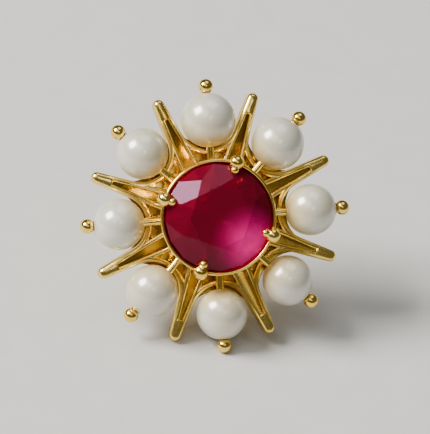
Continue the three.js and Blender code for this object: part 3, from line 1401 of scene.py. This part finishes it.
@dataclass
class Pearls:
    """Drilled pearls, each a little out of round.

    Attributes:
        flower: where the flower stands.
        finish: the nacre.
        hole: radius of the drilled hole.
        mouth: width and depth of the worn edge round the hole's mouths.
        uneven: depth of the shallow dents that keep a pearl out of round.
        dents: how many dents there are in a radius.
        sunk: how far inwards the dents are moved, as a share of their depth.
        true: share of the radius round the hole that has no dents.
    """

    flower: FlowerFrame
    finish: PearlFinish
    hole: float = 0.23
    mouth: float = 0.03
    uneven: float = 0.02
    dents: float = 0.9
    sunk: float = 0.35
    true: float = 0.3

    def section(self, radius: float) -> Profile:
        """A drilled pearl's section about its own drill hole.

        Args:
            radius: the pearl's radius.

        Returns:
            Distance from the hole's axis and height along it.
        """
        start = math.asin((self.hole + self.mouth) / radius)
        turns = [start + (math.pi - 2 * start) * step / 48 for step in range(49)]
        round_side = [(radius * math.sin(turn), radius * math.cos(turn)) for turn in turns]
        end = round_side[0][1] - self.mouth
        return [*round_side, (self.hole, -end), (self.hole, end)]

    def mesh(self, index: int, radius: float) -> Mesh:
        """One pearl at its place.

        Args:
            index: its number from 0.
            radius: its radius.

        Returns:
            The mesh.
        """
        mesh = turned(self.section(radius), sides=72)
        seed = Vector((7.3, 3.1, 1.7)) * index
        for vertex in mesh.vertices:
            away = min(1.0, max(0.0, vertex.co.to_2d().length / radius - self.true))
            dent = noise.noise(vertex.co / radius * self.dents + seed) - self.sunk
            vertex.co += vertex.co.normalized() * self.uneven * dent * away
        lay = Matrix.Rotation(QUARTER, 4, "Y")
        out = Matrix.Rotation(petal_angle(index), 4, "Z")
        spot = polar(self.flower.pearl_ring, petal_angle(index), self.flower.pearl_height)
        mesh.transform(Matrix.Translation(spot) @ out @ lay)
        return mesh

    def build(self, shop: Workshop) -> None:
        """Makes the eight pearls.

        Args:
            shop: places the pieces.
        """
        material = self.finish.material()
        for index, radius in enumerate(self.flower.pearl_radii):
            name = f"pearl_{index + 1}"
            shop.finish(f"{name}_nacre", self.mesh(index, radius), material, "pearl", [name], sharp=50.0)


@dataclass
class BackDisc:
    """The round disc behind the plate that seats on the skin, with a rim clear of the plate.

    Attributes:
        finish: the gold it is made in.
        radius: radius of the disc.
        rim: thickness of its rim.
        hub: radius of its middle, which carries the plate.
        thickness: its height up to the plate.
        bore: radius of the post's socket.
        depth: depth of the socket.
        mouth: width and depth of the worn edge round the socket.
        edge: radius of its rounded edges.
    """

    finish: GoldFinish
    radius: float = 3.15
    rim: float = 0.2
    hub: float = 2.3
    thickness: float = 0.45
    bore: float = 0.45
    depth: float = 0.42
    mouth: float = 0.02
    edge: float = 0.06

    def build(self, shop: Workshop) -> None:
        """Makes the disc.

        Args:
            shop: places the piece.
        """
        corners = [
            (self.radius - self.edge * (1 - math.sin(turn)), middle - self.edge * math.cos(turn))
            for middle, start in ((self.edge, 0.0), (self.rim - self.edge, QUARTER))
            for turn in (start + QUARTER * step / 6 for step in range(7))
        ]
        profile = [
            (0.0, self.depth),
            (self.bore, self.depth),
            (self.bore, self.mouth),
            (self.bore + self.mouth, 0.0),
            *corners,
            (self.hub, self.rim),
            (self.hub, self.thickness),
            (0.0, self.thickness),
        ]
        mesh = turned(profile, sides=96, closed=False)
        shop.finish("back_disc", mesh, self.finish.material(), "gold")


@dataclass
class Post:
    """The plain straight post with a round end.

    Attributes:
        finish: the gold it is made in.
        radius: radius of the post.
        length: from the back disc's rear face to its end.
        top: how far it goes into its socket.
        edge: width and depth of the worn edge at its top.
    """

    finish: GoldFinish
    radius: float = 0.42
    length: float = 7.0
    top: float = 0.38
    edge: float = 0.04

    def build(self, shop: Workshop) -> None:
        """Makes the post.

        Args:
            shop: places the piece.
        """
        shoulder = self.radius - self.length
        profile = [
            (0.0, -self.length),
            *(
                (self.radius * math.sin(turn), shoulder - self.radius * math.cos(turn))
                for turn in (QUARTER * step / 12 for step in range(1, 13))
            ),
            (self.radius, self.top - self.edge),
            (self.radius - self.edge, self.top),
            (0.0, self.top),
        ]
        mesh = turned(profile, sides=64, closed=False)
        shop.finish("post_wire", mesh, self.finish.material(), "gold", ["post"])


# ---------------------------------------------------------------- stage


@dataclass(frozen=True)
class SoftLight:
    """A square soft light that faces the flower.

    Attributes:
        name: its name.
        way: from the flower to it, in metres.
        size: its side, in metres.
        watts: its power.
        colour: its colour.
        upright: whether its way is in the row frame, and not turned as the view is.
    """

    name: str
    way: Triple
    size: float
    watts: float
    colour: Triple
    upright: bool = False

    def add(self, target: Vector, turn: Matrix) -> None:
        """Adds the light.

        Args:
            target: the point that it faces, in the row frame.
            turn: the view's rotation.
        """
        data = bpy.data.lights.new(self.name, "AREA")
        data.size = self.size
        data.energy = self.watts
        data.color = self.colour
        way = Vector(self.way) if self.upright else turn @ Vector(self.way)
        facing = way.to_track_quat("Z", "Y").to_matrix().to_4x4()
        linked(self.name, data).matrix_world = Matrix.Translation(target + way) @ facing


@dataclass
class Studio:
    """Pale floor, soft lights and the camera.

    Attributes:
        flower: where the flower stands.
        tilt: angle between the camera's direction and the flower's axis, in degrees.
        lean: which way the flower's face turns in the view, clockwise from up, in degrees.
        roll: where pearl_1 lies in the view, clockwise from up, in degrees.
        distance: from the flower to the camera, in metres.
        width: what the view takes in at the flower, in metres.
        sensor: width of the camera's sensor, in millimetres.
        lights: the soft lights.
        aim: height on the flower's axis that they face, in millimetres.
        sky: colour of the room's light.
        sky_strength: its strength.
        floor_size: half of the floor's side, in metres.
        floor_dark: the floor's colour in darker patches.
        floor_light: its colour in lighter ones.
        grain: the lighter patches.
    """

    flower: FlowerFrame
    tilt: float = 9.0
    lean: float = 95.0
    roll: float = -4.3
    distance: float = 0.3
    width: float = 0.0205
    sensor: float = 36.0
    lights: tuple[SoftLight, ...] = (
        SoftLight("key", (-0.27, 0.26, 0.22), size=0.2, watts=4.0, colour=(1.0, 0.97, 0.92)),
        SoftLight("front", (-0.1, 0.2, 0.4), size=0.22, watts=0.3, colour=(1.0, 0.98, 0.95)),
        SoftLight("tent", (0.085, 0.056, 0.4), size=0.085, watts=0.07, colour=(1.0, 0.96, 0.9)),
        SoftLight("overhead", (0.05, 0.1, 0.4), 0.25, 0.35, (0.96, 0.98, 1.0), upright=True),
    )
    aim: float = 1.0
    sky: Triple = (0.82, 0.8, 0.77)
    sky_strength: float = 0.14
    floor_size: float = 1.5
    floor_dark: Triple = (0.66, 0.655, 0.64)
    floor_light: Triple = (0.69, 0.685, 0.67)
    grain: Pattern = Pattern(0.6, low=0.3)

    def turn(self) -> Matrix:
        """The view's rotation in the row frame.

        Returns:
            The rotation.
        """
        tilt, lean, roll = (math.radians(angle) for angle in (self.tilt, self.lean, self.roll))
        face = Vector((math.sin(tilt) * math.sin(lean), math.sin(tilt) * math.cos(lean), math.cos(tilt)))
        top = Vector((math.sin(roll), math.cos(roll), 0.0))
        top = (top - face * top.dot(face)).normalized()
        seen = Matrix((top.cross(face), top, face)).transposed()
        return self.flower.to_row.to_3x3().normalized() @ seen.transposed()

    def add_camera(self, turn: Matrix) -> None:
        """Adds the camera.

        Args:
            turn: the view's rotation.
        """
        data = bpy.data.cameras.new("camera")
        data.sensor_width = self.sensor
        data.lens = self.sensor * self.distance / self.width
        data.clip_start = 0.01
        data.clip_end = 10.0
        camera = linked("camera", data)
        place = self.flower.on_axis(self.flower.pearl_height) + turn @ (OUT * self.distance)
        camera.matrix_world = Matrix.Translation(place) @ turn.to_4x4()
        bpy.context.scene.camera = camera

    def add_floor(self) -> None:
        """Adds the pale floor at the height that the stud lies on."""

        def build(grid: Grid) -> None:
            """Makes a square grid."""
            bmesh.ops.create_grid(grid, x_segments=8, y_segments=8, size=self.floor_size)

        mesh = mesh_of(build)
        material, nodes, shader = new_material("floor_pale")
        place = nodes.add("ShaderNodeTexCoord").outputs["Object"]
        colour = nodes.mix(nodes.patches(place, self.grain), self.floor_dark, self.floor_light)
        nodes.feed_all(shader, Base_Color=colour, Roughness=0.65)
        mesh.materials.append(material)
        linked("floor", mesh)

    def build(self) -> None:
        """Adds everything."""
        turn = self.turn()
        self.add_camera(turn)
        for light in self.lights:
            light.add(self.flower.on_axis(self.aim), turn)
        world = bpy.data.worlds.new("studio")
        world.use_nodes = True
        background = world.node_tree.nodes["Background"]
        background.inputs["Color"].default_value = (*self.sky, 1.0)
        background.inputs["Strength"].default_value = self.sky_strength
        bpy.context.scene.world = world
        self.add_floor()


def write_sizes() -> None:
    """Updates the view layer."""
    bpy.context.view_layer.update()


def main() -> None:
    """Builds the nose pin and its studio."""
    flower = FlowerFrame.from_cad(frame["record"])
    LOG.info("pearl ring %.3f mm, height %.3f mm", flower.pearl_ring, flower.pearl_height)
    shop = Workshop(flower)
    bright = GoldFinish("gold_bright", Polish.MIRROR)
    # The star plate's worn gold has shade painted low between its raised edges.
    recess_shade = PaintedRecessShade(tuple(flower.on_axis(0.0)), tuple(flower.face))
    worn = GoldFinish("gold_worn_recess_shade", Polish.WORN, recess_shade)
    satin = GoldFinish("gold_satin", Polish.SATIN)
    nacre = PearlFinish(tuple(flower.on_axis(flower.pearl_height)))
    StarPlate(flower, worn).build(shop)
    Collet(bright).build(shop)
    Claws(bright).build(shop)
    Pins(flower, bright).build(shop)
    BackDisc(satin).build(shop)
    Post(satin).build(shop)
    Ruby(flower).build(shop)
    Pearls(flower, nacre).build(shop)
    LOG.info("pieces: %s", ", ".join(shop.pieces))
    Studio(flower).build()
    write_sizes()


if __name__ == "__main__":
    main()
